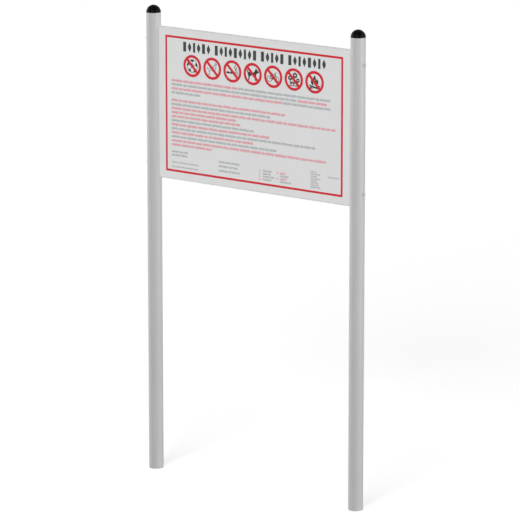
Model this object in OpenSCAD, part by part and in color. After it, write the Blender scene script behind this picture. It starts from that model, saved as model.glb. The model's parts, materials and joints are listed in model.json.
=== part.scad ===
// Information board: a folded sheet-steel tray held between two round tube posts.
// Millimetres. +Z is up and the printed face looks along -Y.
// The origin is on the ground, midway between the posts' axes.

/* [Posts] */
// Outside diameter of the post tube
post_d = 60.3; // [48.3:0.1:76.1]
// Wall thickness of the post tube
post_wall = 2.9; // [2:0.1:4]
// Height of the tube above ground, without its cap
post_h = 1900; // [1500:10:2600]

/* [Board tray] */
// Width of the folded tray
board_w = 950; // [600:10:1400]
// Height of the folded tray
board_h = 620; // [400:10:900]
// Depth of the tray from its face to its back
board_depth = 16; // [15:0.5:24]
// Distance of the tray's face ahead of the posts' axes
face_ahead = 7; // [6.5:0.1:8]
// Distance from the tube's top end down to the top of the tray
board_drop = 52; // [20:1:300]
// Thickness of the tray's sheet steel
sheet_t = 1.5; // [1:0.1:2]
// Inside radius of the tray's folds
fold_r = 1; // [0.5:0.1:2]
// Width of the flange that returns inwards along the tray's back
return_w = 18; // [12:1:30]
// Slot left between two return flanges where they meet at a corner
mitre_gap = 1; // [0.5:0.1:2]
// Diameter of the drain holes in the bottom flange
drain_d = 6; // [3:0.5:7]
// Number of drain holes
drain_count = 3; // [1:1:7]
// Distance from the tray's ends to the outermost drain holes
drain_inset = 120; // [60:5:200]

/* [Stiffening rails] */
// Distance from the tray's top and bottom edges to the rails' centre lines
rail_inset = 55; // [45:1:120]
// Height of a rail's raised crown
rail_crown = 30; // [24:1:50]
// Height of each wing that lies against the back of the face
rail_wing = 12; // [6:1:18]
// Thickness of the rails' sheet steel
rail_t = 1.5; // [1:0.1:2]
// Inside radius of the rails' folds
rail_fold_r = 1; // [0.5:0.1:1.5]

/* [Screws] */
// Diameter of the four screws that pass through the posts
screw_d = 8; // [6:0.5:8]
// Distance by which a screw's tip passes its threaded block
tip_past = 4.6; // [1:0.1:12]
// Width across the flats of the hexagon head
head_flats = 13; // [10:0.5:16]
// Height of the hexagon head
head_h = 5.3; // [3:0.1:6]
// Extra diameter of the holes that let a screw through the tubes and the tray's ends
hole_clear = 0.8; // [0.4:0.1:1]
// Length of the threaded block inside each end of a rail
block_len = 12; // [8:0.5:16]

/* [Caps] */
// Wall thickness at the crown of the domed cap
cap_wall = 3; // [2:0.1:5]
// Radius of the rounded lip where the dome meets the tube
cap_lip = 1; // [0.3:0.1:2]
// Depth of the cap's spigot inside the tube
spigot_len = 28; // [20:1:45]
// Wall thickness of the spigot
spigot_wall = 2; // [1.5:0.1:3]
// Height by which the grip fins stand out of the spigot
fin_out = 2.4; // [1.5:0.1:3.5]
// Thickness of a grip fin at its edge
fin_t = 0.9; // [0.6:0.1:1.5]
// Distance from one grip fin to the next
fin_pitch = 5; // [4:0.5:8]

/* [Printed film] */
// Thickness of the printed film on the tray's face
film_t = 0.3; // [0.1:0.05:0.6]
// Bare margin of the face around the film
film_margin = 5; // [5:0.5:20]
// Radius of the film's corners
film_r = 6; // [2:0.5:15]

/* [Fits] */
// Gap between a post and the end of the tray
side_gap = 0.3; // [0.1:0.1:3]
// Gap between a rail or a threaded block and the sheet round it
inner_gap = 0.3; // [0.1:0.05:0.5]
// Gap between a screw's thread and the thread in its block
thread_gap = 0.05; // [0.02:0.01:0.2]
// Gap between a grip fin and the inside of the tube
fin_gap = 0.2; // [0.05:0.05:0.4]

/* [Hidden] */

$fn = 96;
cut_over = 1;                       // how far a cutting shape runs past what it cuts
left = -1;                          // side of the left post, along X
right = 1;

post_r = post_d / 2;
bore_r = post_r - post_wall;
post_x = board_w / 2 + side_gap + post_r;

board_top = post_h - board_drop;
board_bottom = board_top - board_h;
face_y = -face_ahead;
face_back_y = face_y + sheet_t;
back_y = face_y + board_depth;
return_y = back_y - sheet_t;        // inner side of the return flange
fold_out = fold_r + sheet_t;        // outside radius of a fold

rail_len = board_w - 2 * (fold_out + inner_gap);
rail_depth = return_y - inner_gap - face_back_y;
rail_back_y = face_back_y + rail_depth;
rail_z = [board_bottom + rail_inset, board_top - rail_inset];
rail_fold_out = rail_fold_r + rail_t;

block_y = [face_back_y + inner_gap, rail_back_y - rail_t];
block_h = rail_crown - 2 * (rail_fold_out + inner_gap);
screw_len = post_d + side_gap + fold_out + inner_gap + block_len + tip_past;

spigot_r = bore_r - fin_gap - fin_out;
fin_r = bore_r - fin_gap;
fin_count = floor((spigot_len - fin_pitch) / fin_pitch);
fin_rise = fin_out / 2;             // how far a fin leans up towards its edge
hole_d = screw_d + hole_clear;
head_chamfer = 30;                  // slope of the chamfer on a head's corners, in degrees
head_top_share = 0.95;              // width of a head's flat top, as a share of its flats

// Carries its children out to the axis of one post.
module at_post(side) {
    translate([side * post_x, 0, 0]) children();
}

// Lays its children, drawn upwards from a seat at the origin, at the four screws' places.
// Each copy's own +Z then points in towards the board, along the screw's axis.
module at_screws(from_x) {
    for (side = [left, right], z = rail_z)
        translate([side * from_x, 0, z]) rotate([0, -side * 90, 0]) children();
}

// A rectangle from [x0, y0] to [x1, y1] with corners of radius r, all in true arcs.
module round_rect(low, high, r) {
    translate([low[0] + r, low[1]]) square([high[0] - low[0] - 2 * r, high[1] - low[1]]);
    translate([low[0], low[1] + r]) square([high[0] - low[0], high[1] - low[1] - 2 * r]);
    for (x = [low[0] + r, high[0] - r], y = [low[1] + r, high[1] - r])
        translate([x, y]) circle(r);
}

// The space inside the tray's skin: inset 0 gives the outside, inset sheet_t the inside.
// Two crossing bars with rounded sections meet at a mitre along every folded corner.
module tray_block(inset, r) {
    intersection() {
        translate([0, 0, board_bottom + inset])
            linear_extrude(board_h - 2 * inset)
                round_rect([-board_w / 2 + inset, face_y + inset],
                           [board_w / 2 - inset, back_y - inset], r);
        translate([-board_w / 2 + inset, 0, 0]) rotate([90, 0, 90])
            linear_extrude(board_w - 2 * inset)
                round_rect([face_y + inset, board_bottom + inset],
                           [back_y - inset, board_top - inset], r);
    }
}

// The opening in the tray's back, between the four return flanges.
module tray_window() {
    translate([-board_w / 2 + return_w, return_y - cut_over, board_bottom + return_w])
        cube([board_w - 2 * return_w, sheet_t + 2 * cut_over, board_h - 2 * return_w]);
}

// The mitre slot that parts two return flanges at one corner of the back.
module mitre_slot(side, end) {
    corner_z = end > 0 ? board_top : board_bottom;
    reach = return_w + cut_over;
    translate([side * board_w / 2, return_y - cut_over, corner_z])
        mirror([side > 0 ? 1 : 0, 0, 0]) mirror([0, 0, end > 0 ? 1 : 0])
            translate([fold_out, 0, fold_out]) rotate([0, -45, 0])
                translate([0, 0, -mitre_gap / 2])
                    cube([(reach - fold_out) * sqrt(2), sheet_t + 2 * cut_over, mitre_gap]);
}

module drain_holes() {
    span = board_w - 2 * drain_inset;
    step = drain_count > 1 ? span / (drain_count - 1) : 0;
    first = drain_count > 1 ? -span / 2 : 0;
    for (i = [0 : drain_count - 1])
        translate([first + i * step, (face_y + back_y) / 2, board_bottom - cut_over])
            cylinder(d = drain_d, h = sheet_t + 2 * cut_over);
}

module board_tray() {
    color("gainsboro") difference() {
        tray_block(0, fold_out);
        tray_block(sheet_t, fold_r);
        tray_window();
        for (side = [left, right], end = [left, right]) mitre_slot(side, end);
        drain_holes();
        at_screws(board_w / 2 + cut_over)
            cylinder(d = hole_d, h = sheet_t + 2 * cut_over);
    }
}

module print_film() {
    color("whitesmoke")
        translate([0, face_y, 0]) rotate([90, 0, 0]) linear_extrude(film_t)
            round_rect([-board_w / 2 + film_margin, board_bottom + film_margin],
                       [board_w / 2 - film_margin, board_top - film_margin], film_r);
}

// A quarter of a ring: the section of a fold, turned by angle.
module fold_section(r_in, t, angle) {
    rotate(angle) intersection() {
        difference() {
            circle(r_in + t);
            circle(r_in);
        }
        square(r_in + t);
    }
}

// Half of the rail's hat section, x being the depth behind the face and y the height.
module half_hat() {
    leg_y = rail_crown / 2 - rail_t;
    wing_end = rail_crown / 2 + rail_fold_r + rail_wing;
    translate([rail_depth - rail_t, 0]) square([rail_t, rail_crown / 2 - rail_fold_out]);
    translate([rail_depth - rail_fold_out, rail_crown / 2 - rail_fold_out])
        fold_section(rail_fold_r, rail_t, 0);
    translate([rail_fold_out, leg_y]) square([rail_depth - 2 * rail_fold_out, rail_t]);
    translate([rail_fold_out, rail_crown / 2 + rail_fold_r])
        fold_section(rail_fold_r, rail_t, 180);
    translate([0, rail_crown / 2 + rail_fold_r])
        square([rail_t, wing_end - rail_crown / 2 - rail_fold_r]);
}

module rail(z) {
    color("lightgray")
        translate([-rail_len / 2, face_back_y, z]) rotate([90, 0, 90])
            linear_extrude(rail_len) {
                half_hat();
                mirror([0, 1]) half_hat();
            }
}

module thread_blocks() {
    color("dimgray")
        at_screws(rail_len / 2) translate([-block_h / 2, 0, 0])
            difference() {
                translate([0, block_y[0], 0])
                    cube([block_h, block_y[1] - block_y[0], block_len]);
                translate([block_h / 2, 0, -cut_over])
                    cylinder(d = screw_d + 2 * thread_gap, h = block_len + 2 * cut_over);
            }
}

// One hexagon screw, its head's seat at the origin and its shank along +Z.
module hex_screw() {
    corner_r = head_flats / 2 / cos(30);
    top_r = head_flats / 2 * head_top_share;
    tip = screw_d / 8;
    translate([0, 0, -head_h]) intersection() {
        cylinder(r = corner_r, h = head_h, $fn = 6);
        cylinder(r1 = top_r, r2 = top_r + head_h / tan(head_chamfer), h = head_h);
    }
    cylinder(d = screw_d, h = screw_len - tip);
    translate([0, 0, screw_len - tip])
        cylinder(d1 = screw_d, d2 = screw_d - 2 * tip, h = tip);
}

module post_screws() {
    color("silver") at_screws(post_x + post_r) hex_screw();
}

module post(side) {
    color("lightgray") difference() {
        at_post(side) difference() {
            cylinder(r = post_r, h = post_h);
            translate([0, 0, -cut_over]) cylinder(r = bore_r, h = post_h + 2 * cut_over);
        }
        at_screws(post_x + post_r + cut_over)
            cylinder(d = hole_d, h = post_d + 2 * cut_over);
    }
}

// Half of the dome's section: a quarter disc with its lower rim rounded by the lip.
module dome_section() {
    lip_x = sqrt(pow(post_r - cap_lip, 2) - pow(cap_lip, 2));
    meet = atan2(cap_lip, lip_x);
    meet_at = post_r * [cos(meet), sin(meet)];
    intersection() {
        circle(post_r);
        polygon([[0, 0], 2 * meet_at, [2 * post_r, 2 * post_r], [0, 2 * post_r]]);
    }
    polygon([[0, 0], [lip_x, 0], [lip_x, cap_lip]]);
    intersection() {
        translate([lip_x, cap_lip]) circle(cap_lip);
        square(post_r);
    }
}

// Half of one grip fin's section, leaning up towards its thin edge.
module fin_section() {
    polygon([[spigot_r - spigot_wall / 2, 0], [spigot_r, 0], [fin_r, fin_rise],
             [fin_r, fin_rise + fin_t], [spigot_r, 2 * fin_t],
             [spigot_r - spigot_wall / 2, 2 * fin_t]]);
}

module cap(side) {
    hollow_r = spigot_r - spigot_wall;
    color([0.06, 0.06, 0.06])
        at_post(side) translate([0, 0, post_h])
            rotate_extrude() difference() {
                union() {
                    dome_section();
                    translate([0, -spigot_len]) square([spigot_r, spigot_len + cap_lip]);
                    for (i = [0 : fin_count - 1])
                        translate([0, -spigot_len + fin_pitch / 2 + i * fin_pitch])
                            fin_section();
                }
                intersection() {
                    circle(post_r - cap_wall);
                    square([hollow_r, post_r]);
                }
                translate([0, -spigot_len - cut_over])
                    square([hollow_r, spigot_len + 2 * cut_over]);
            }
}

post(left);  // left_post
post(right);  // right_post
cap(left);  // left_cap
cap(right);  // right_cap
board_tray();
print_film();
rail(rail_z[1]);  // upper_rail
rail(rail_z[0]);  // lower_rail
thread_blocks();
post_screws();
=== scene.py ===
# %% [markdown]
# An information board, dressed for its picture.
# The steelwork arrives as a fixed frame, with every tube, fold and screw in its place.
# This script gives each surface its finish, prints the sheet on the board's face,
# adds the small things that only show close by, and sets up the studio.

# %% Load the steelwork
import json
import math
import random

import bmesh
import bpy
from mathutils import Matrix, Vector
from mathutils.geometry import delaunay_2d_cdt

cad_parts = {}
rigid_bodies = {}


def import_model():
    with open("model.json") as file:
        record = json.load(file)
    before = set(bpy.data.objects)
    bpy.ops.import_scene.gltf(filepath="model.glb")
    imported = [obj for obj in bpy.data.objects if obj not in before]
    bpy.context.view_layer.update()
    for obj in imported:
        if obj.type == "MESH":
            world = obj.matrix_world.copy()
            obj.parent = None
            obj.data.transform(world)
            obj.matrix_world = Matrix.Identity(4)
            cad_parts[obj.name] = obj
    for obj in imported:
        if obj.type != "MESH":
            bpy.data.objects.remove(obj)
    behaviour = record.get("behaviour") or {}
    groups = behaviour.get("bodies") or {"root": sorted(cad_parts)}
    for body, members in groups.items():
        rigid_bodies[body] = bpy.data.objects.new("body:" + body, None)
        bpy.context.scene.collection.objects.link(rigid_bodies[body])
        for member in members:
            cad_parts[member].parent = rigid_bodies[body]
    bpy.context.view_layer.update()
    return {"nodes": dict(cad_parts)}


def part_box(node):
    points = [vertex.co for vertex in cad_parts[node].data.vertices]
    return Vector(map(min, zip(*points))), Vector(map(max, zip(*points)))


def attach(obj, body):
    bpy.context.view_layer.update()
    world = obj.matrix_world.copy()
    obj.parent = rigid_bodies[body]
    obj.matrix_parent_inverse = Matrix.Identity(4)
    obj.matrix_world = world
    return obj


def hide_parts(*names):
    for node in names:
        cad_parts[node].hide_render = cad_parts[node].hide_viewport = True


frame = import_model()
nodes = frame["nodes"]
print("pieces in the frame:", sorted(nodes))

# %% [markdown]
# Everything that follows is placed from the frame's own boxes, so nothing is fitted by eye.
# The posts' axes, the film's face and the screws' heights are read once and given names:
# the screws run along the middle of the rails. All lengths are metres, the printed face
# looks along -Y, and +Z is up.

# %% Read the places from the frame
mm = 0.001


def middle(low, high):
    return (low + high) / 2


post_low, post_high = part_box("right_post")
post_x = middle(post_low.x, post_high.x)
post_r = (post_high.x - post_low.x) / 2
post_top = post_high.z
film_low, film_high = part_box("print_film")
rail_boxes = {name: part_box(name) for name in ("upper_rail", "lower_rail")}
rail_z = [middle(low.z, high.z) for low, high in rail_boxes.values()]
print("post axis at x", round(post_x, 4), "screws at heights", [round(z, 4) for z in rail_z])

# %% [markdown]
# The picture is taken from the right and a little above, with a long lens, so that the far
# post is only a little smaller than the near one. The place, the two angles and the lens
# were worked out from the posts' ends and the board's edges. A shifted lens would draw the
# posts a shade more upright, but it would shift every other view as well, so there is none.

# %% Camera
camera_place = Vector((8.8643, -11.7236, 4.3195))
camera_turn = math.radians(36.999)
camera_dip = math.radians(12.924)
camera_lens = 261.12
camera_reach = 300

camera = bpy.data.objects.new("camera", bpy.data.cameras.new("camera"))
camera.location = camera_place
camera.rotation_euler = (math.radians(90) - camera_dip, 0, camera_turn)
camera.data.lens = camera_lens
camera.data.clip_end = camera_reach
bpy.context.scene.collection.objects.link(camera)
bpy.context.scene.camera = camera
print("camera stands", round(camera_place.length, 2), "m from the board's foot")

# %% [markdown]
# A finish is a small sum over the surface: a colour plus a little cloud, less some dust.
# As nodes such sums get long, so this class wraps one output of a node and lets the sum be
# written as it is said. Every + or * on it adds one Math node to the tree.


# %% A class for writing finishes as sums
class Tone:
    """One output in a finish's node tree; sums on it add Math nodes."""

    def __init__(self, tree, socket=None):
        self.tree = tree
        self.socket = socket

    def node(self, kind, settings, inputs, output=0):
        """Adds a node with its settings first and its sockets next; gives one of its outputs."""
        made = self.tree.nodes.new(kind)
        for name, value in settings.items():
            setattr(made, name, value)
        for name, value in inputs.items():
            if isinstance(value, Tone):
                self.tree.links.new(value.socket, made.inputs[name])
            else:
                made.inputs[name].default_value = value
        return Tone(self.tree, made.outputs[output])

    def math(self, operation, first, second=0.0):
        return self.node("ShaderNodeMath", {"operation": operation}, {0: first, 1: second})

    def __add__(self, other):
        return self.math("ADD", self, other)

    def __radd__(self, other):
        return self.math("ADD", other, self)

    def __sub__(self, other):
        return self.math("SUBTRACT", self, other)

    def __rsub__(self, other):
        return self.math("SUBTRACT", other, self)

    def __mul__(self, other):
        return self.math("MULTIPLY", self, other)

    def __rmul__(self, other):
        return self.math("MULTIPLY", other, self)

    def __pow__(self, other):
        return self.math("POWER", self, other)

    def __abs__(self):
        return self.math("ABSOLUTE", self)


# %% [markdown]
# The few patterns that all the finishes share: a soft cloud of noise, a stretched one, a
# fade between two levels, a blend of two colours, and the surface's own place split into
# x, y and z. Every object sits at the origin, so the place on the object is the place in
# the frame.


# %% Shared patterns
def place_on(bench):
    """The point of the surface, as a vector and as its three numbers."""
    point = bench.node("ShaderNodeTexCoord", {}, {}, "Object")
    axes = [bench.node("ShaderNodeSeparateXYZ", {}, {0: point}, axis) for axis in "XYZ"]
    return point, axes


def cloud(bench, point, size, detail=2.0):
    """Soft noise from 0 to 1 whose blotches are about that size."""
    inputs = {"Vector": point, "Scale": 1 / size, "Detail": detail}
    return bench.node("ShaderNodeTexNoise", {}, inputs)


def stretched(bench, point, scale):
    """The place scaled along each axis; noise read there is long where the scale is small."""
    return bench.node("ShaderNodeMapping", {}, {"Vector": point, "Scale": scale})


def fade(value, low, high):
    """0 below low, 1 above high, and a smooth rise between; low may be the larger one."""
    settings = {"interpolation_type": "SMOOTHSTEP"}
    inputs = {"Value": value, "From Min": low, "From Max": high}
    return value.node("ShaderNodeMapRange", settings, inputs)


# The Mix node repeats its sockets for each kind of data; these numbers are the colours' ones.
first_colour = 6
second_colour = 7
mixed_colour = 2


def blend(factor, first, second):
    """The first colour where factor is 0 and the second where it is 1."""
    inputs = {0: factor, first_colour: first, second_colour: second}
    return factor.node("ShaderNodeMix", {"data_type": "RGBA"}, inputs, mixed_colour)


def raised(height, depth):
    """A normal for a relief whose height runs from 0 to 1 over that depth in metres."""
    return height.node("ShaderNodeBump", {}, {"Distance": depth, "Height": height})


def grey(level):
    return (level, level, level, 1.0)


def ink_colour(red, green, blue):
    """A printed colour given as 0 to 255, turned into the linear numbers that a shader takes."""
    shares = [channel / 255 for channel in (red, green, blue)]
    return tuple(((share + 0.055) / 1.055) ** 2.4 for share in shares) + (1.0,)


def new_finish(name, **sockets):
    """A material, the bench to write its sums on, and a call that fills its shader's sockets."""
    material = bpy.data.materials.new(name)
    material.use_nodes = True
    shader = material.node_tree.nodes["Principled BSDF"]
    bench = Tone(material.node_tree)

    def fill(**more):
        for socket, value in more.items():
            target = shader.inputs[socket.replace("_", " ")]
            if isinstance(value, Tone):
                material.node_tree.links.new(value.socket, target)
            else:
                target.default_value = value

    fill(**sockets)
    return material, bench, fill


# %% [markdown]
# Powder coat is a dry paint that is baked until it flows. It never flows quite flat: the
# skin keeps a faint orange peel a few millimetres across, which breaks up its reflections.
# Outdoors it dulls a little in patches, keeps faint upright streaks where rain ran down,
# and greys in a ragged band near the ground, where rain throws up dust. Over its whole
# height the coat is also painted darker from the top down: painted shade, for light that
# falls off lower down. One noise over everything would be less work, but dirt and this
# shade each belong to a height, so the height takes part in the sum. How far the coat has
# aged and is shaded at a place is that sum, and the numbers in it say how much each
# pattern counts. The posts' powder holds some metal flake, which gives them a silver sheen
# and a fine grain close by, and the tray's has none and is nearly matt, so the function
# takes the share of flake and the gloss beside the two greys.

# %% Powder coat
peel_size = 2.6 * mm
peel_depth = 0.03 * mm
patch_size = 0.22
mottle_size = 12 * mm
streak_size = 11 * mm
streak_stretch = (1.0, 1.0, 0.05)
grain_size = 1.1 * mm
splash_height = 0.45
splash_ragged = 0.3
coat_roughness = 0.40


def powder_coat(name, colour, dust_and_shade, flake, gloss):
    """The coat's material and fill, and its colour for a finish that goes over it."""
    material, bench, fill = new_finish(name, Metallic=flake, Specular_IOR_Level=gloss)
    point, (x, y, z) = place_on(bench)
    patches = cloud(bench, point, patch_size, 4.0)
    mottle = cloud(bench, point, mottle_size, 3.0)
    upright = stretched(bench, point, streak_stretch)
    streaks = cloud(bench, upright, streak_size, 3.0) - 0.5
    grain = cloud(bench, point, grain_size) - 0.5
    # Painted shade: the first term darkens the coat steadily from the top of the posts to the
    # ground.
    age_and_shade = fade(z, post_top, 0.0) * 0.6 + patches * 0.35 + mottle * 0.15
    age_and_shade = age_and_shade + streaks * 0.9 + grain * flake
    splash = fade(z + patches * splash_ragged, splash_height, 0.0)
    peel = cloud(bench, point, peel_size) + cloud(bench, point, peel_size / 4) * 0.2
    coat = blend(age_and_shade + splash * 0.15, colour, dust_and_shade)
    fill(
        Base_Color=coat,
        Roughness=coat_roughness + patches * 0.10 + splash * 0.12,
        Normal=raised(peel, peel_depth),
    )
    return material, fill, coat


# The second grey is where the patches, streaks, dust and the painted shade lower down lead.
tray_grey = grey(0.71)
tray_dust_and_shade = grey(0.67)
tray_gloss = 0.2
tray_coat, _, _ = powder_coat("tray_coat", tray_grey, tray_dust_and_shade, 0.0, tray_gloss)
print("the tray's coat ages in patches", patch_size, "m across")

# %% [markdown]
# Round each screw head, on the tube's outer side, the coat is painted darker in a streaky
# ring that hugs the head: painted shade, where the head shades the tube. The ring is found
# by sums alone: the distance from a screw's axis, measured in the plane across it, is the
# same for all four screws once the height is folded about the middle of the board. Four
# painted rings would need four masks.

# %% The posts' coat, with painted shade round the screws
# The second grey is where the patches, streaks, dust and the painted shade lower down lead.
post_grey = grey(0.452)
post_dust_and_shade = grey(0.39)
post_flake = 0.4
post_gloss = 0.5
# Colour, share, streak size and width of the painted shade round the screw heads.
head_shade_grey = grey(0.30)
head_shade_share = 0.6
head_shade_streak_size = 1.5 * mm
head_corner_r = 7.5 * mm
head_shade_width = 1.6 * mm
screws_mid = middle(*rail_z)
screws_half = abs(rail_z[0] - screws_mid)


def from_screw_axis(y, z):
    """Distance of the surface from the nearest screw's axis."""
    rise = abs(z - screws_mid) - screws_half
    return (y * y + rise * rise) ** 0.5


def post_finish():
    material, fill, coat = powder_coat("post_coat", post_grey, post_dust_and_shade, post_flake, post_gloss)
    point, (x, y, z) = place_on(coat)
    streaks = fade(cloud(coat, point, head_shade_streak_size), 0.4, 0.6)
    inside_ring = fade(from_screw_axis(y, z), head_corner_r + head_shade_width, head_corner_r)
    outer_side = fade(abs(x), post_x, post_x + post_r / 2)
    # Painted shade: the coat darkens in streaks in a ring round each head.
    head_shade = inside_ring * outer_side * streaks
    fill(Base_Color=blend(head_shade * head_shade_share, coat, head_shade_grey))
    return material


post_coat = post_finish()
print("screws are", round(2 * screws_half, 3), "m apart in height")

# %% [markdown]
# The caps are moulded in black polyethylene. The mould leaves them glossy with a very fine
# grain, and a small sunken spot at the crown where the plastic was fed in. Years of hands
# and weather leave short hairline scratches, which show as slightly rougher lines. Nothing
# here is deep enough to need real geometry: the spot is a dip in the bump, and the
# scratches are a noise squeezed along one axis, of which only the peaks are kept.

# %% Moulded black plastic
cap_black = grey(0.0006)
scratch_grey = grey(0.004)
cap_gloss = 0.04
cap_roughness = 0.06
cap_relief = 0.4 * mm
gate_r = 3.2 * mm
gate_floor_r = 0.7 * gate_r
gate_rim_r = 1.25 * gate_r
gate_rim_w = 0.5 * mm
scratch_size = 4 * mm
scratch_stretch = (1.0, 6.0, 0.4)
mould_grain_size = 0.5 * mm


def cap_finish():
    material, bench, fill = new_finish("cap_plastic", Specular_IOR_Level=cap_gloss)
    point, (x, y, z) = place_on(bench)
    off_axis = abs(x) - post_x
    reach = (off_axis * off_axis + y * y) ** 0.5
    gate = fade(reach, gate_r, gate_floor_r)
    rim = fade(abs(reach - gate_rim_r), gate_rim_w, 0.0)
    squeezed = stretched(bench, point, scratch_stretch)
    scratches = fade(cloud(bench, squeezed, scratch_size, 5.0), 0.62, 0.70)
    grain = cloud(bench, point, mould_grain_size)
    fill(
        Base_Color=blend(scratches, cap_black, scratch_grey),
        Roughness=cap_roughness + grain * 0.06 + scratches * 0.18,
        Normal=raised(grain * 0.12 - gate * 0.6 + rim * 0.3, cap_relief),
    )
    return material


cap_plastic = cap_finish()
print("the caps' feed mark is", round(2 * gate_r / mm, 1), "mm across")

# %% [markdown]
# The printed sheet is a white vinyl film tinted to the board's grey by its print, under a
# clear satin laminate. The laminate has its own fine pebble, and the film lies in long,
# very shallow waves where it was rolled down by hand. The inks share this skin, so one
# function makes the bare film and each ink, from a fresh colour and an aged one. The print
# is no image: each ink is a plate of its own further down, so its edge stays sharp however
# close the camera comes.

# %% Film and inks
pebble_size = 0.9 * mm
dot_size = 5 * mm
roll_wave = 0.16
roll_depth = 0.3 * mm
film_gloss = 0.3
film_roughness = 0.40
ink_shades = {
    "red": ((210, 24, 42), (201, 31, 48)),
    "black": ((26, 30, 28), (36, 40, 38)),
    "slate": ((44, 51, 52), (54, 61, 62)),
    "pale red": ((226, 163, 168), (223, 166, 171)),
    "pale slate": ((181, 185, 186), (184, 188, 189)),
}


def film_finish(name, colour, aged):
    material, bench, fill = new_finish(name, Specular_IOR_Level=film_gloss)
    point, _ = place_on(bench)
    waves = cloud(bench, point, roll_wave, 1.0)
    pebble = cloud(bench, point, pebble_size)
    dots = cloud(bench, point, dot_size, 4.0)
    fill(
        Base_Color=blend(waves * 0.5 + dots * 0.5, colour, aged),
        Roughness=film_roughness + dots * 0.10,
        Normal=raised(waves + pebble * 0.04, roll_depth),
    )
    return material


film_bare = film_finish("film_bare", grey(0.785), grey(0.745))
ink_materials = {
    ink: film_finish("ink_" + ink.replace(" ", "_"), ink_colour(*fresh), ink_colour(*aged))
    for ink, (fresh, aged) in ink_shades.items()
}
print("inks:", sorted(ink_materials))

# %% [markdown]
# The rails are folded from galvanised sheet and never painted. The zinc freezes into flat
# crystals, each with its own brightness: a cell pattern gives every crystal one random
# level, and a little noise on the coordinates bends their edges, which would otherwise be
# straight. In places the zinc has bloomed white, as it does in damp air.

# %% Galvanised sheet
crystal_size = 11 * mm
crystal_relief = 0.1 * mm
zinc_grain_size = 2 * mm
zinc_roughness = 0.36
bloom_size = 60 * mm
crystal_dark = (0.33, 0.34, 0.36, 1.0)
crystal_bright = (0.43, 0.44, 0.46, 1.0)
bloom_white = (0.47, 0.48, 0.48, 1.0)


def crystals(bench, point):
    """One random level, 0 to 1, for each crystal of the zinc."""
    wave = {"Vector": point, "Scale": 1 / crystal_size}
    wobble = bench.node("ShaderNodeTexNoise", {}, wave, "Color")
    shift = {0: wobble, 1: (crystal_size, crystal_size, crystal_size), 2: point}
    bent = bench.node("ShaderNodeVectorMath", {"operation": "MULTIPLY_ADD"}, shift)
    cells = {"Vector": bent, "Scale": 1 / crystal_size}
    cell = bench.node("ShaderNodeTexVoronoi", {}, cells, "Color")
    return bench.node("ShaderNodeSeparateColor", {}, {0: cell}, "Red")


def zinc_finish():
    material, bench, fill = new_finish("galvanised_sheet", Metallic=0.9)
    point, _ = place_on(bench)
    crystal = crystals(bench, point)
    bloom = fade(cloud(bench, point, bloom_size, 5.0), 0.52, 0.70)
    bright = blend(crystal, crystal_dark, crystal_bright)
    grain = cloud(bench, point, zinc_grain_size)
    fill(
        Base_Color=blend(bloom * 0.5, bright, bloom_white),
        Roughness=zinc_roughness + crystal * 0.12 + bloom * 0.2,
        Normal=raised(crystal * 0.2 + grain * 0.1, crystal_relief),
    )
    return material


rail_zinc = zinc_finish()
print("zinc crystals are", round(crystal_size / mm), "mm across")

# %% [markdown]
# The threaded blocks are sawn from bar and zinc-plated: saw marks run across them, and
# the plating has a faint warm and cool tint. The screws are stainless steel, and the top
# of each head keeps the fine circles of the tool that faced it. Years outdoors leave a dull
# film on such steel: a clean mirror would show a lamp as a white disc, so the screws are
# made rougher and only partly metallic.

# %% Plated blocks and stainless screws
saw_pitch = 0.8 * mm
saw_wander = 9 * mm
saw_depth = 0.03 * mm
tint_size = 14 * mm
plating_warm = (0.60, 0.60, 0.56, 1.0)
plating_cool = (0.56, 0.58, 0.63, 1.0)
plating_roughness = 0.30
tool_pitch = 0.35 * mm
tool_depth = 0.012 * mm
stain_size = 3 * mm
steel_clean = (0.50, 0.495, 0.485, 1.0)
steel_stained = (0.42, 0.415, 0.405, 1.0)
steel_roughness = 0.40
screw_shine = 0.45


def ripples(distance, pitch):
    """Even ridges, 0 to 1, one for each pitch of distance."""
    return distance.math("SINE", distance * (2 * math.pi / pitch)) * 0.5 + 0.5


def plated_finish():
    material, bench, fill = new_finish("plated_block", Metallic=1.0)
    point, (x, y, z) = place_on(bench)
    saw = ripples(z + cloud(bench, point, saw_wander) * saw_pitch, saw_pitch)
    tint = cloud(bench, point, tint_size)
    fill(
        Base_Color=blend(tint, plating_warm, plating_cool),
        Roughness=plating_roughness + saw * 0.12,
        Normal=raised(saw, saw_depth),
    )
    return material


def stainless_finish():
    material, bench, fill = new_finish("stainless_screw", Metallic=screw_shine)
    point, (x, y, z) = place_on(bench)
    rings = ripples(from_screw_axis(y, z), tool_pitch)
    stain = cloud(bench, point, stain_size, 4.0)
    fill(
        Base_Color=blend(stain, steel_clean, steel_stained),
        Roughness=steel_roughness + stain * 0.14,
        Normal=raised(rings, tool_depth),
    )
    return material


block_plating = plated_finish()
screw_stainless = stainless_finish()
print("saw marks every", round(saw_pitch / mm, 2), "mm")
print("tool rings every", round(tool_pitch / mm, 2), "mm")

# %% [markdown]
# The frame's pieces keep their shapes and only receive these finishes. The screws are not
# among them, because more detailed ones take their place further down.

# %% Dress the frame
dress = {
    "left_post": post_coat,
    "right_post": post_coat,
    "left_cap": cap_plastic,
    "right_cap": cap_plastic,
    "board_tray": tray_coat,
    "print_film": film_bare,
    "upper_rail": rail_zinc,
    "lower_rail": rail_zinc,
    "thread_blocks": block_plating,
}
for name, material in dress.items():
    nodes[name].data.materials.clear()
    nodes[name].data.materials.append(material)
print("finishes given to", len(dress), "nodes")

# %% [markdown]
# Now the print. It is drawn as flat outlines in millimetres, centred on the film, and
# later outlines cover earlier ones, as when shapes are cut from coloured paper and laid
# on a sheet. An outline laid with no ink uncovers the film again, so a ring is a red disc
# under a bare one. The words are only bars: nothing here can be read.

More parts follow.
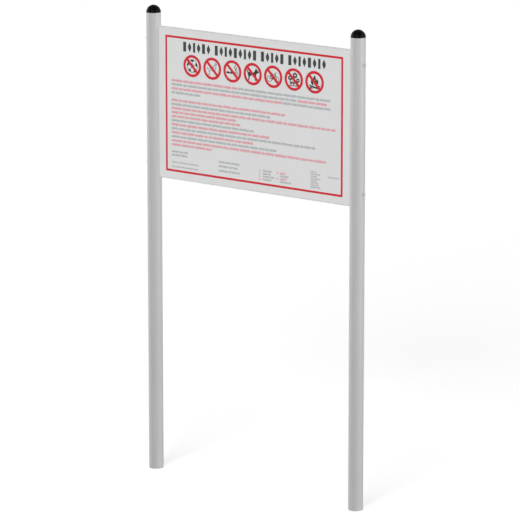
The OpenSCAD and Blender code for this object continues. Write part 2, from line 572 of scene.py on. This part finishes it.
# %% Outlines
film_mid_x = middle(film_low.x, film_high.x) / mm
film_mid_z = middle(film_low.z, film_high.z) / mm
film_w = (film_high.x - film_low.x) / mm
film_h = (film_high.z - film_low.z) / mm
layers = []


def lay(ink, outlines):
    """Puts outlines of one ink, or of none, on top of all that is laid already."""
    for outline in outlines:
        layers.append((ink, outline))


def arc(centre, radius, start, end, steps):
    """Points along an arc, with its angles in degrees."""
    angles = [math.radians(start + (end - start) * i / steps) for i in range(steps + 1)]
    return [(centre[0] + radius * math.cos(a), centre[1] + radius * math.sin(a)) for a in angles]


def disc(centre, radius, steps=64):
    return arc(centre, radius, 0, 360, steps)[:-1]


def panel(low, high, corner=0.0, steps=5):
    """A rectangle, with rounded corners where corner isn't 0."""
    if corner == 0.0:
        return [low, (high[0], low[1]), high, (low[0], high[1])]
    inner = [(high[0] - corner, low[1] + corner), (high[0] - corner, high[1] - corner)]
    inner += [(low[0] + corner, high[1] - corner), (low[0] + corner, low[1] + corner)]
    outline = []
    for turn, centre in enumerate(inner):
        outline += arc(centre, corner, 90 * turn - 90, 90 * turn, steps)
    return outline


def stick(start, end, width, steps=8):
    """A straight stroke with round ends."""
    angle = math.degrees(math.atan2(end[1] - start[1], end[0] - start[0]))
    far = arc(end, width / 2, angle - 90, angle + 90, steps)
    return far + arc(start, width / 2, angle + 90, angle + 270, steps)


def strokes(points, width):
    """A line of strokes through the points."""
    return [stick(start, end, width) for start, end in zip(points, points[1:])]


def moved(outlines, by):
    return [[(x + by[0], y + by[1]) for x, y in outline] for outline in outlines]


def polar(radius, angle):
    return (radius * math.cos(math.radians(angle)), radius * math.sin(math.radians(angle)))


print("the sheet is", round(film_w), "by", round(film_h), "mm")

# %% [markdown]
# The sheet's own frame is one red line with slightly rounded corners: a red panel, and a
# bare one on top of it that leaves only the line.

# %% The red border
border_side = 30
border_end = 27
border_line = 9
border_corner = 4
border_inner_corner = 1.0


def border():
    half_w = film_w / 2 - border_side
    half_h = film_h / 2 - border_end
    lay("red", [panel((-half_w, -half_h), (half_w, half_h), border_corner)])
    half_w -= border_line
    half_h -= border_line
    lay(None, [panel((-half_w, -half_h), (half_w, half_h), border_inner_corner)])


border()

# %% [markdown]
# The heading says nothing. It is a frieze of upright bars and lozenges that take turns, in
# groups as long as words, as bold and as tall as a heading's capitals but with no letter
# among them. The lozenges' side corners are cut off, so that the frieze is about as dark
# near its upper and lower edge as along its middle.

# %% The heading
heading_left = -349
heading_right = 356
heading_low = film_h / 2 - 86
heading_high = film_h / 2 - 46.5
heading_groups = [6, 9, 5, 8]
narrow_bar = 11
wide_bar = 15
lozenge = 16
lozenge_point = 15.5
bar_corner = 1.2
bar_corner_steps = 3
frieze_widths = [wide_bar, lozenge, narrow_bar, lozenge]
group_gap = 24


def frieze_shape(left, width):
    """An upright bar, or a lozenge with cut sides where the width is that of one."""
    low, high = heading_low, heading_high
    right = left + width
    if width == lozenge:
        ridge = middle(left, right)
        upper = [(right, high - lozenge_point), (ridge, high), (left, high - lozenge_point)]
        return [(left, low + lozenge_point), (ridge, low), (right, low + lozenge_point)] + upper
    return panel((left, low), (right, high), bar_corner, bar_corner_steps)


def group_widths(count):
    """The widths of one group's shapes, bars and lozenges in turn."""
    return [frieze_widths[i % len(frieze_widths)] for i in range(count)]


def heading():
    widths = [group_widths(count) for count in heading_groups]
    inked = sum(sum(group) for group in widths)
    count = sum(heading_groups)
    free = heading_right - heading_left - group_gap * (len(heading_groups) - 1) - inked
    gap = free / (count - len(heading_groups))
    left = heading_left
    for group in widths:
        for width in group:
            lay("slate", [frieze_shape(left, width)])
            left += width + gap
        left += group_gap - gap
    print("shapes in the heading:", count, "with gaps of", round(gap, 1), "mm")


heading()

# %% [markdown]
# Seven prohibition signs stand under the heading. Ring and slash are the common ones:
# a red circle with a bar from upper left to lower right. The little pictures inside are
# drawn here from scratch out of discs, strokes and a few plain silhouettes, each centred
# on its sign and in millimetres.

# %% Pictures for the signs
thin = 2.6
fine_line = 2.0
hairline = 1.0


def turned(outlines, angle):
    """The outlines turned about the middle of the sign, in degrees."""
    across, along = polar(1, angle)

    def turn(x, y):
        return (x * across - y * along, x * along + y * across)

    return [[turn(x, y) for x, y in outline] for outline in outlines]


def traced(points, width):
    """A closed line of that width through the points."""
    return strokes(points + points[:1], width)


def ball_picture(at):
    """A stitched ball: an outline, a middle patch, seams and five patches at the edge."""
    lay("black", moved([disc((0, 0), 27)], at))
    lay(None, moved([disc((0, 0), 25)], at))
    corners = [90 + 72 * i for i in range(5)]
    lay("black", moved([[polar(9, angle) for angle in corners]], at))
    for angle in corners:
        lay("black", moved([stick(polar(8, angle), polar(18, angle), fine_line)], at))
        edge = [polar(17, angle), polar(21, angle - 21), polar(26.3, angle - 17)]
        edge += [polar(26.9, angle), polar(26.3, angle + 17), polar(21, angle + 21)]
        lay("black", moved([edge], at))


def drink_picture(at):
    """A leaning bottle and a stemmed glass, in fine lines."""
    bottle = [(-6.5, -15), (6.5, -15), (6.5, 5), (2.6, 12)]
    bottle += [(2.6, 20), (-2.6, 20), (-2.6, 12), (-6.5, 5)]
    band = [(-6.5, -8), (6.5, -8), (6.5, 0), (-6.5, 0)]
    stopper = panel((-3.4, 17), (3.4, 21))
    leaning = turned(traced(bottle, fine_line) + traced(band, hairline) + [stopper], -28)
    lay("black", moved(moved(leaning, (10, 4)), at))
    bowl = [(-23, 5), (-22, -5), (-17, -11), (-12, -11), (-7, -5), (-6, 5)]
    lay("black", moved(strokes(bowl, fine_line), at))
    stem = stick((-14.5, -11), (-14.5, -23), fine_line)
    foot = stick((-20, -24), (-9, -24), fine_line)
    level = stick((-21.5, -1), (-7.5, -1), hairline)
    lay("black", moved([stem, foot, level], at))


def smoke_picture(at):
    """A cigarette with two threads of smoke."""
    lay("black", moved([panel((-30, -10), (27, -2))], at))
    filter_line = panel((-13, -10.5), (-11.2, -1.5))
    ash = panel((15, -8), (25.2, -4))
    lay(None, moved([filter_line, ash], at))
    for shift in (0, 8):
        curl = [(13 + shift + 3.4 * math.sin(i * 0.9 + shift), 1 + 2.9 * i) for i in range(11)]
        lay("black", moved(strokes([p for p in curl if math.hypot(*p) < 32], thin), at))


def dog_picture(at):
    """A dog standing, looking right."""
    body = [(-24, -2), (-21, -12), (-22, -26), (-17, -26), (-14.5, -12), (-9, -6), (8, -6)]
    body += [(10.5, -12), (11, -26), (16, -26), (17, -8), (19, 3), (24, 5), (30, 7), (31.5, 10.5)]
    body += [(26, 15), (23, 19.5), (19, 20), (16.5, 25), (13, 19), (8, 9), (2, 6.5), (-16, 6.5)]
    body += [(-21, 7), (-28, 17), (-31, 16), (-26, 5)]
    lay("black", moved([body], at))
    lay(None, moved([disc((22.5, 15), 1.1, 12)], at))


def bicycle_picture(at):
    """Two wheels, a frame, saddle and handlebar."""
    wheels = [(-17, -9), (17, -9)]
    for wheel in wheels:
        lay("black", moved([disc(wheel, 12.5)], at))
        lay(None, moved([disc(wheel, 10.3)], at))
    crank = (-2, -9)
    seat = (-7, 9)
    head = (11, 10)
    lay("black", moved(strokes([wheels[0], crank, head, seat, wheels[0]], thin), at))
    lay("black", moved(strokes([crank, (-8.5, 14)], thin), at))
    lay("black", moved(strokes([wheels[1], head, (9.5, 15.5), (15, 17)], thin), at))
    lay("black", moved([stick((-13, 14.5), (-4.5, 14.5), 3.2), disc(crank, 3.2, 24)], at))


def blossom(top, petal):
    """Six round petals about an open middle."""
    places = [polar(1.25 * petal, 90 + 60 * i) for i in range(6)]
    petals = [disc((top[0] + x, top[1] + y), 0.72 * petal, 20) for x, y in places]
    return petals, disc(top, 0.5 * petal, 20)


def flower_picture(at):
    """Three flowers, given by foot, top and petal size, growing from a strip of ground."""
    flowers = [((-13, -24), (-18, 5), 5.4), ((0, -24), (6, 17), 6.0)]
    flowers += [((14, -24), (20, -2), 4.8)]
    for foot, top, petal in flowers:
        bend = (foot[0], middle(foot[1], top[1]))
        lay("black", moved(strokes([foot, bend, top], thin), at))
        petals, heart = blossom(top, petal)
        lay("black", moved(petals, at))
        lay(None, moved([heart], at))
        for side in (-1, 1):
            low = foot[1] + 3
            leaf = [(foot[0], low), (foot[0] + side * 6, low + 5), (foot[0] + side * 8, low + 15)]
            leaf.append((foot[0] + side * 1.5, low + 8))
            lay("black", moved([leaf[::side]], at))
    lay("black", moved([stick((-22, -25), (22, -25), 3)], at))


def campfire_picture(at):
    """A flame over two crossed logs."""
    flame = [(-12, -12), (12, -12), (18, -3), (17, 8), (11, 15), (9, 7), (6, 15), (2, 29), (-6, 18)]
    flame += [(-8, 9), (-12, 14), (-17, 7), (-18, -3)]
    heart = [(-5, -10), (6, -10), (8, -4), (5, 2), (1, 10), (-4, 2), (-7, -4)]
    lay("black", moved([flame], at))
    lay(None, moved([heart], at))
    lay("black", moved([stick((-23, -25), (23, -15), 6.5)], at))
    lay(None, moved([stick((-23, -15), (23, -25), 9)], at))
    lay("black", moved([stick((-23, -15), (23, -25), 6.5)], at))


# %% [markdown]
# Each sign is laid in four steps: the red disc, the bare disc that makes it a ring, the
# picture, and the slash over the picture.

# %% The row of signs
ring_r = 45
ring_line = 11.4
ring_pitch = 101
ring_mid_x = -0.5
ring_z = film_h / 2 - 141.2
ring_steps = 96
slash_angle = 135
slash_end_steps = 10
pictures = [ball_picture, drink_picture, smoke_picture, dog_picture]
pictures += [bicycle_picture, flower_picture, campfire_picture]


def sign(picture, at):
    lay("red", moved([disc((0, 0), ring_r, ring_steps)], at))
    lay(None, moved([disc((0, 0), ring_r - ring_line, ring_steps)], at))
    picture(at)
    reach = ring_r - ring_line / 2
    upper_left = polar(reach, slash_angle)
    lower_right = polar(reach, slash_angle - 180)
    lay("red", moved([stick(upper_left, lower_right, ring_line, slash_end_steps)], at))


for number, picture in enumerate(pictures):
    ring_x = ring_mid_x + ring_pitch * (number - (len(pictures) - 1) / 2)
    sign(picture, (ring_x, ring_z))
print("signs:", len(pictures), "with rings", 2 * ring_r, "mm across")

# %% [markdown]
# The rules under the signs are greeked, as a designer does before the copy arrives: one
# bar for each word, as tall as small letters, with nubs above and below it where tall and
# hanging letters would stand. The nubs' width, reach and least distance are shares of the
# bar's height, and two odds say how often one stands there. Letters leave most of their
# height bare, so the bars are printed in pale tints of the two inks, and a line has the
# tone of a line of type.

# %% Greeked words
word_gap = 2.8
word_widths = (16, 58)
body_height = 8.0
nub_width = 0.2
nub_reach = 0.4
nub_step = 2.5
lower_odds = 0.35
upper_odds = 0.55


def word(left, right, base, height, chance):
    """One bar with nubs along its lower and upper side, which the outline follows in turn."""
    stem = nub_width * height
    reach = nub_reach * height
    lower_side = (left, right, base, -reach, lower_odds)
    upper_side = (right, left, base + height, reach, upper_odds)
    outline = []
    for start, end, level, rise, odds in (lower_side, upper_side):
        way = 1 if end > start else -1
        outline.append((start, level))
        place = start + way * stem
        while abs(end - place) > 2 * stem:
            if chance.random() < odds:
                outline += [(place, level), (place, level + rise)]
                outline += [(place + way * stem, level + rise), (place + way * stem, level)]
            place += way * nub_step * stem
        outline.append((end, level))
    return outline


def words(ink, left, right, base, height, chance):
    """A run of words from left to right, on one base line; smaller type has smaller words."""
    scale = height / body_height
    while right - left > word_widths[0] * scale:
        width = min(chance.uniform(*word_widths) * scale, right - left)
        lay(ink, [word(left, left + width, base, height, chance)])
        left += width + word_gap * scale


# %% [markdown]
# Each line is written as its runs: an ink and the share of the column's width at which
# that ink ends. Red and slate take turns, and the right edge is ragged.

# %% The body of the rules
body_left = -410
body_w = 814
body_top = film_h / 2 - 208.5
body_pitch = 16.55
paragraph_gap = 14.5
paragraphs = [
    [
        [("pale red", 0.41), ("pale slate", 0.99)],
        [("pale slate", 0.77), ("pale red", 0.95)],
        [("pale red", 0.68), ("pale slate", 0.97)],
        [("pale slate", 0.19)],
    ],
    [
        [("pale red", 0.70)],
        [("pale slate", 0.61)],
        [("pale red", 1.0)],
        [("pale red", 0.40)],
        [("pale red", 0.44)],
        [("pale slate", 0.51)],
        [("pale red", 0.61)],
        [("pale slate", 0.88)],
        [("pale red", 0.52)],
        [("pale slate", 0.66)],
        [("pale red", 0.96)],
        [("pale red", 0.25)],
    ],
]


def body(chance):
    base = body_top - body_height / 2
    for paragraph in paragraphs:
        for line in paragraph:
            left = body_left
            for ink, share in line:
                right = body_left + share * body_w
                words(ink, left, right, base, body_height, chance)
                left = right + word_gap
            base -= body_pitch
        base -= paragraph_gap
    print("lines in the body:", sum(len(paragraph) for paragraph in paragraphs))


body(random.Random(23))

# %% [markdown]
# At the foot stand four small blocks of notes, and one short line by itself at the right.
# They are the same bars, only smaller. A line is given by its ends and by how far it stands
# below the film's middle. The third block has two columns: in the first each line has a
# mark before it, and in the second only the pale red ones have one.

# %% The notes at the foot
note_height = 6.8
list_height = 6.0
small_note_height = 4.6
mark = (8, 5.5)
first_block = [(-322, 198.5), (-330, 212.5)]
first_block_small = [(-268, 241), (-272, 259)]
second_left = -171
second_block = [(-58, 214), (-76, 231), (-64, 249.5)]
fourth_left = 285
fourth_rights = (324, 332)
fourth_down = 196.5
fourth_pitch = 8.75
fourth_lines = 8
lone_line = (369, 421, 209)
mark_lefts = (30, 118)
list_lefts = (49, 135)
list_down = 223
list_pitch = 11.5
list_rows = [
    ("pale slate", 101, "pale red", 164),
    ("pale slate", 96, "pale slate", 184),
    ("pale red", 107, "pale red", 168),
    ("pale red", 104, "pale slate", 190),
]


def note(left, right, down, ink, chance, height=note_height):
    """One line of small words, down from the film's middle line."""
    words(ink, left, right, -down, height, chance)


def note_mark(ink, left, down):
    """The small block of ink before a line of the list."""
    lay(ink, [panel((left, -down), (left + mark[0], -down + mark[1]))])


def marked_list(chance):
    """The two columns of the third block, with their marks."""
    for row, (mark_ink, left_end, right_ink, right_end) in enumerate(list_rows):
        down = list_down + list_pitch * row
        note_mark(mark_ink, mark_lefts[0], down)
        note(list_lefts[0], left_end, down, "pale slate", chance, list_height)
        if right_ink == "pale red":
            note_mark(right_ink, mark_lefts[1], down)
        note(list_lefts[1], right_end, down, right_ink, chance, list_height)


def notes(chance):
    for right, down in first_block:
        note(body_left, right, down, "pale slate", chance)
    for right, down in first_block_small:
        note(body_left, right, down, "pale slate", chance, small_note_height)
    for right, down in second_block:
        note(second_left, right, down, "pale slate", chance)
    marked_list(chance)
    for row in range(fourth_lines):
        down = fourth_down + fourth_pitch * row
        note(fourth_left, fourth_rights[row % 2], down, "pale slate", chance, small_note_height)
    left, right, down = lone_line
    note(left, right, down, "pale slate", chance, small_note_height)


notes(random.Random(5))
print("outlines laid on the sheet:", len(layers))

# %% [markdown]
# All outlines are cut against each other in one go. The cut gives flat cells, and each
# cell knows which outlines it lies in: the last one laid decides its ink. Cells of one
# ink then become one thin closed plate on the film, so no two colours share a surface
# and nothing flickers. A boolean for each overlap would do the same, but far slower.
# Corners within nearest_apart of each other, in millimetres, are taken as one. Blender's
# own extrude would close the plates too, but it lists their faces in a new order each run,
# and a loop over the faces and their open edges doesn't.

# %% Cut the inks and raise them off the film
ink_thick = 0.05 * mm
nearest_apart = 1e-4
flat_angle = 0.001


def counter_clockwise(outline):
    """The outline, turned round if its points run clockwise."""
    pairs = zip(outline, outline[1:] + outline[:1])
    doubled = sum(x0 * y1 - x1 * y0 for (x0, y0), (x1, y1) in pairs)
    return outline if doubled > 0 else outline[::-1]


def cut_cells():
    """Corner points of all cells, and the cells of each ink as lists of corner numbers."""
    points = []
    faces = []
    for _, outline in layers:
        first = len(points)
        points += [Vector(point) for point in counter_clockwise(outline)]
        faces.append(list(range(first, len(points))))
    corners, _, cells, _, _, owners = delaunay_2d_cdt(points, [], faces, 1, nearest_apart)
    inked = {}
    for cell, owner in zip(cells, owners):
        ink = layers[max(owner)][0] if owner else None
        if ink:
            inked.setdefault(ink, []).append(cell)
    return corners, inked


def close_plate(mesh, by):
    """Copies the flat faces by that vector and walls in the edges that have one face only."""
    flat = list(mesh.faces)
    rim = [edge for edge in mesh.edges if edge.is_boundary]
    copy = {vert: mesh.verts.new(vert.co + by) for vert in list(mesh.verts)}
    for face in flat:
        mesh.faces.new([copy[vert] for vert in face.verts])
    for edge in rim:
        start, end = edge.verts
        mesh.faces.new((start, end, copy[end], copy[start]))
    bmesh.ops.recalc_face_normals(mesh, faces=mesh.faces)


def ink_plate(name, corners, cells, material):
    """One ink's cells as a closed plate that stands on the film's face."""
    used = sorted({number for cell in cells for number in cell})
    low = {number: place for place, number in enumerate(used)}
    mesh = bmesh.new()
    for number in used:
        x = (film_mid_x + corners[number].x) * mm
        z = (film_mid_z + corners[number].y) * mm
        mesh.verts.new((x, film_low.y, z))
    mesh.verts.ensure_lookup_table()
    for cell in cells:
        mesh.faces.new([mesh.verts[low[number]] for number in cell])
    bmesh.ops.dissolve_limit(mesh, angle_limit=flat_angle, verts=mesh.verts, edges=mesh.edges)
    close_plate(mesh, Vector((0, -ink_thick, 0)))
    return add_piece(name, mesh, material)


def add_object(name, mesh, material, smooth=False):
    """Turns a finished bmesh into an object of the scene."""
    data = bpy.data.meshes.new(name)
    mesh.to_mesh(data)
    mesh.free()
    data.materials.append(material)
    data.polygons.foreach_set("use_smooth", [smooth] * len(data.polygons))
    made = bpy.data.objects.new(name, data)
    bpy.context.scene.collection.objects.link(made)
    return made


def add_piece(name, mesh, material, smooth=False):
    """Turns a finished bmesh into a piece that rides on the frame."""
    piece = add_object(name, mesh, material, smooth)
    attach(piece, "root")
    return piece


corners, inked = cut_cells()
for ink, cells in inked.items():
    plate = ink_plate("print_" + ink.replace(" ", "_"), corners, cells, ink_materials[ink])
    print(plate.name, "has", len(plate.data.polygons), "faces")

# %% [markdown]
# The frame's screws are plain: a chamfered hexagon on a smooth rod. Real ones have a round
# bearing face under the head, a dished top and a rolled thread. All of it is one skin of
# rings round the axis: a hexagon is a ring whose radius depends on the angle, and a thread
# is a rod whose radius follows the angle and the height together.

# %% Screws with real heads and threads
screw_d = 8 * mm
head_flats = 13 * mm
head_h = 5.3 * mm
chamfer_r = 0.95 * head_flats / 2
chamfer_slope = math.tan(math.radians(30))
dish_rim_r = 0.40 * head_flats
dish_r = 0.36 * head_flats
dish_depth = 0.3 * mm
dish_mid_r = 0.4 * mm
dish_mid_depth = 0.35 * mm
bearing_r = 0.94 * head_flats / 2
bearing_h = 0.4 * mm
thread_pitch = 1.25 * mm
thread_depth = 0.7 * mm
thread_len = 22 * mm
tip_r = 0.92 * (screw_d / 2 - thread_depth)
screw_turns = 48
rings_per_pitch = 6
past_post = 19.7 * mm
head_seat = post_x + post_r
screw_len = 2 * post_r + past_post
thread_start = screw_len - thread_len


def hexagon_reach(angle):
    """Radius of the hexagon's side in that direction."""
    sixth = math.radians(60)
    return head_flats / 2 / math.cos((angle + sixth / 2) % sixth - sixth / 2)


def head_edge(angle):
    """The head's side runs up to a chamfer that is deepest at the corners."""
    reach = hexagon_reach(angle)
    chamfer = max(0.0, reach - chamfer_r) * chamfer_slope
    return (reach, -head_h + chamfer)


def thread_ring(along):
    """A ring of the thread, which fades in over its first pitch and tapers over its last."""
    def ring(angle):
        turn = (along / thread_pitch - angle / (2 * math.pi)) % 1
        groove = abs(2 * turn - 1)
        fade_in = min(1.0, (along - thread_start) / thread_pitch)
        full = min(1.0, (screw_len - along) / thread_pitch)
        reach = screw_d / 2 - thread_depth * groove * fade_in
        return (tip_r + (reach - tip_r) * full, along)
    return ring


def plain_ring(radius, along):
    return lambda angle: (radius, along)


def screw_rings():
    """The rings of a screw from the middle of its head to its tip, along its axis."""
    rings = [plain_ring(dish_mid_r, dish_mid_depth - head_h)]
    rings += [plain_ring(dish_r, dish_depth - head_h), plain_ring(dish_rim_r, -head_h)]
    rings += [plain_ring(chamfer_r, -head_h), head_edge]
    rings += [lambda angle: (hexagon_reach(angle), -bearing_h), plain_ring(bearing_r, -bearing_h)]
    rings += [plain_ring(bearing_r, 0.0), plain_ring(screw_d / 2, 0.0)]
    rings.append(plain_ring(screw_d / 2, thread_start))
    steps = int(thread_len / thread_pitch * rings_per_pitch)
    rings += [thread_ring(thread_start + thread_len * (i + 1) / steps) for i in range(steps)]
    return rings


def skin(mesh, loops):
    """Joins rings that have as many points each into one skin, and closes both of its ends."""
    count = len(loops[0])
    for first, second in zip(loops, loops[1:]):
        for a in range(count):
            b = (a + 1) % count
            mesh.faces.new((first[a], first[b], second[b], second[a]))
    mesh.faces.new(loops[0])
    mesh.faces.new(loops[-1])


def screw(name, side, z):
    """One screw, its head's seat on the post's outer side."""
    mesh = bmesh.new()
    loops = []
    for ring in screw_rings():
        loop = []
        for turn in range(screw_turns):
            angle = 2 * math.pi * turn / screw_turns
            reach, along = ring(angle)
            x = side * (head_seat - along)
            loop.append(mesh.verts.new((x, reach * math.sin(angle), z + reach * math.cos(angle))))
        loops.append(loop)
    skin(mesh, loops)
    bmesh.ops.recalc_face_normals(mesh, faces=mesh.faces)
    return add_piece(name, mesh, screw_stainless)


for side, side_name in ((-1, "left"), (1, "right")):
    for level, z in zip(("upper", "lower"), rail_z):
        piece = screw(side_name + "_" + level + "_screw", side, z)
        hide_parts("post_screws")
print("each screw is", round(screw_len / mm, 1), "mm long under its head")

# %% [markdown]
# The rails are spot-welded to the back of the face through their wings. Each weld leaves
# a round dent with a low rim, a few millimetres across, and they only show from behind.
# The frame's sheets stay whole, so a dent can't be pressed into them: each mark is a small
# turned dish that stands on the wing, its outline given in shares of its radius and rise.

# %% Spot welds along the rails' wings
weld_pitch = 0.09
weld_r = 3 * mm
weld_rise = 0.18 * mm
weld_steps = 20
weld_profile = [(1.0, 0.0), (0.9, 1.0), (0.72, 1.0), (0.5, 0.35), (0.08, 0.3)]
wing_t = 1.5 * mm
wing_h = 12 * mm


def weld_mark(mesh, x, y, z):
    """A dish with a raised rim, its foot on the wing at y."""
    loops = []
    for reach, rise in weld_profile:
        around = disc((x, z), weld_r * reach, weld_steps)
        loops.append([mesh.verts.new((a, y + weld_rise * rise, b)) for a, b in around])
    skin(mesh, loops)


def weld_row(name, low, high):
    """The welds of one rail, along both of its wings."""
    mesh = bmesh.new()
    count = int((high.x - low.x) / weld_pitch)
    for i in range(count):
        x = middle(low.x, high.x) + (i - (count - 1) / 2) * weld_pitch
        for z in (low.z + wing_h / 2, high.z - wing_h / 2):
            weld_mark(mesh, x, low.y + wing_t, z)
    bmesh.ops.recalc_face_normals(mesh, faces=mesh.faces)
    print(name, "has", 2 * count, "welds")
    return add_piece(name, mesh, rail_zinc, smooth=True)


for rail_name, (low, high) in rail_boxes.items():
    weld_row(rail_name + "_welds", low, high)

# %% [markdown]
# The studio is a pale floor that runs out of sight and an even white surround. Diffuse
# light comes from the surround at a plain level; what the camera and reflections see of
# it is pure white. The same trick whitens the floor without losing the soft shadow.

# %% Surround
surround_level = 0.15


def seen_directly(bench):
    """1 for what the camera, a reflection or a refraction sees, and 0 for diffuse light."""
    kinds = ("Is Camera Ray", "Is Glossy Ray", "Is Transmission Ray")
    camera_ray, mirror_ray, clear_ray = [
        bench.node("ShaderNodeLightPath", {}, {}, kind) for kind in kinds
    ]
    either = bench.math("MAXIMUM", camera_ray, mirror_ray)
    return bench.math("MAXIMUM", either, clear_ray)


def surround():
    world = bpy.data.worlds.new("surround")
    world.use_nodes = True
    bench = Tone(world.node_tree)
    colour = blend(seen_directly(bench), grey(surround_level), grey(1.0))
    background = world.node_tree.nodes["Background"]
    world.node_tree.links.new(colour.socket, background.inputs["Color"])
    bpy.context.scene.world = world


surround()
print("diffuse light from the surround:", surround_level)

# %% [markdown]
# The floor is a matt disc, so broad that its rim is never in view. Where it is seen
# directly it also glows a little, which brings the lit floor to white and leaves the
# shadow under the posts as a faint grey. A brighter lamp would whiten it too, but the
# board would then be too bright. The light that it throws back comes from its paint alone.

# %% Floor
floor_r = 60
floor_steps = 64
floor_glow = grey(0.452)
floor_seen = grey(0.80)
floor_bounce = grey(0.60)


def floor():
    mesh = bmesh.new()
    bmesh.ops.create_circle(mesh, cap_ends=True, segments=floor_steps, radius=floor_r)
    material, bench, fill = new_finish("floor_paint", Specular_IOR_Level=0.0, Roughness=1.0)
    seen = seen_directly(bench)
    fill(
        Base_Color=blend(seen, floor_bounce, floor_seen),
        Emission_Color=blend(seen, grey(0.0), floor_glow),
        Emission_Strength=1.0,
    )
    piece = add_object("floor", mesh, material)
    print("the floor is", 2 * floor_r, "m across")


floor()

# %% [markdown]
# Two very broad, low lamps, one to each side, give the round tubes their bright edges and
# the darker band between them. Two smaller ones, higher up, stand in front and behind the
# right side: they light the printed face and leave the two soft spots on each cap. A
# broad one behind keeps the back readable. They are all suns, whose light is the same
# everywhere, so the board is lit evenly from end to end. The lamps at the sides cast no
# shadows, because a post and the board would otherwise lay long grey ones on each other.
# Each lamp is written as how far round from the front it stands and how high, in degrees,
# then its strength and how broad its disc is, in degrees too.

# %% Lamps
side_lamps = {
    "left_lamp": (-73, 8, 1.95, 50),
    "right_lamp": (97, 8, 1.5, 50),
    "edge_lamp": (104, 24, 0.75, 28),
}
main_lamps = {
    "front_lamp": (15, 25, 1.40, 28),
    "back_lamp": (178, 12, 0.9, 60),
}


def lamp(name, round_from_front, above, strength, spread, shadows):
    """A sun that shines from that side and height, in degrees, with a disc of that width."""
    data = bpy.data.lights.new(name, "SUN")
    data.energy = strength
    data.angle = math.radians(spread)
    data.use_shadow = shadows
    piece = bpy.data.objects.new(name, data)
    side = math.radians(round_from_front)
    rise = math.radians(above)
    outward = math.cos(rise)
    towards = Vector((math.sin(side) * outward, -math.cos(side) * outward, math.sin(rise)))
    piece.rotation_euler = towards.to_track_quat("Z", "Y").to_euler()
    bpy.context.scene.collection.objects.link(piece)


for name, values in side_lamps.items():
    lamp(name, *values, shadows=False)
for name, values in main_lamps.items():
    lamp(name, *values, shadows=True)
print("lamps:", len(side_lamps) + len(main_lamps))
bpy.context.scene.view_settings.view_transform = "Standard"
